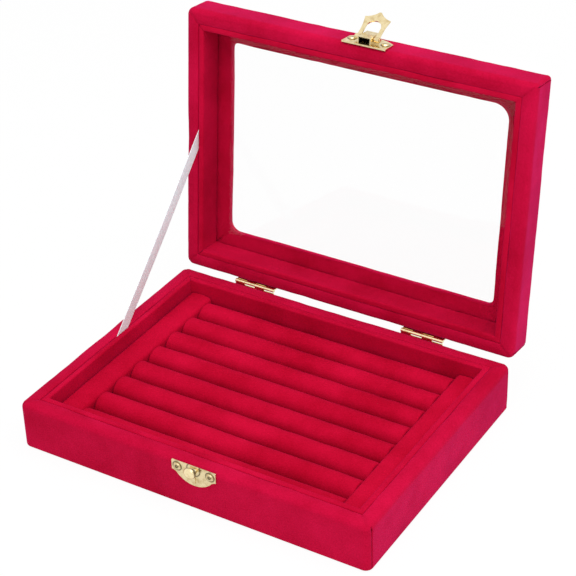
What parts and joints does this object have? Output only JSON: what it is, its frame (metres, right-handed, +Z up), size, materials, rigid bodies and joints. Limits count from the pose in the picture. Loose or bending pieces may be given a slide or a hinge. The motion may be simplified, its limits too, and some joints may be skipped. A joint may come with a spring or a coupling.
{
  "type": "ring display box",
  "caption": "Velvet-covered ring display box: a shallow tray of padded rolls that hold rings in their grooves, under a hinged window lid held open by a ribbon and shut by a small hasp.",
  "frame": {"origin": "centre of the base's underside, where the box rests", "axes": "+X along the width to the right as seen from the clasp side, +Y from the clasp side to the hinges, +Z up; the lid stands open at rest"},
  "size_m": [0.2, 0.1896, 0.1871],
  "materials": {
    "velvet": "short-pile velvet",
    "board": "raw fibreboard",
    "floor_card": "grey card",
    "underside": "thin felt",
    "glass": "clear, polished",
    "brass": "pale plated, polished",
    "ribbon": "satin ribbon"
  },
  "bodies": {
    "base": {"underside_sheet": "underside", "base_cover": "velvet", "base_board_front": "board", "base_board_back": "board", "base_board_left": "board", "base_board_right": "board", "base_floor_board": "floor_card", "base_liner_front": "velvet", "base_liner_back": "velvet", "base_liner_left": "velvet", "base_liner_right": "velvet", "ring_roll_1": "velvet", "ring_roll_2": "velvet", "ring_roll_3": "velvet", "ring_roll_4": "velvet", "ring_roll_5": "velvet", "ring_roll_6": "velvet", "ring_roll_7": "velvet", "ring_roll_8": "velvet", "side_bar_left": "velvet", "side_bar_right": "velvet", "hinge_left_base_leaf": "brass", "hinge_left_pin": "brass", "hinge_right_base_leaf": "brass", "hinge_right_pin": "brass", "base_hinge_screws": "brass", "catch_plate": "brass", "catch_knob": "brass", "catch_screws": "brass", "stay_ribbon": "ribbon"},
    "lid": {"lid_cover": "velvet", "lid_board_front": "board", "lid_board_back": "board", "lid_board_left": "board", "lid_board_right": "board", "lid_top_frame": "board", "glass_pane": "glass", "lid_liner_front": "velvet", "lid_liner_back": "velvet", "lid_liner_left": "velvet", "lid_liner_right": "velvet", "hinge_left_lid_leaf": "brass", "hinge_right_lid_leaf": "brass", "lid_hinge_screws": "brass", "hasp_plate": "brass", "hasp_bridge": "brass", "hasp_rod": "brass", "hasp_screws": "brass"},
    "hasp": {"hasp_loop": "brass"}
  },
  "joints": [
    {"name": "lid_hinge", "type": "hinge", "parent": "base", "child": "lid", "pos_m": [0, 0.0751, 0.0275], "axis": [1, 0, 0], "range_deg": [0, 96], "deforming": ["stay_ribbon"]},
    {"name": "hasp_pivot", "type": "hinge", "parent": "lid", "child": "hasp", "pos_m": [0.0055, 0.09612, 0.17873], "axis": [1, 0, 0], "range_deg": [-38, 144]}
  ]
}
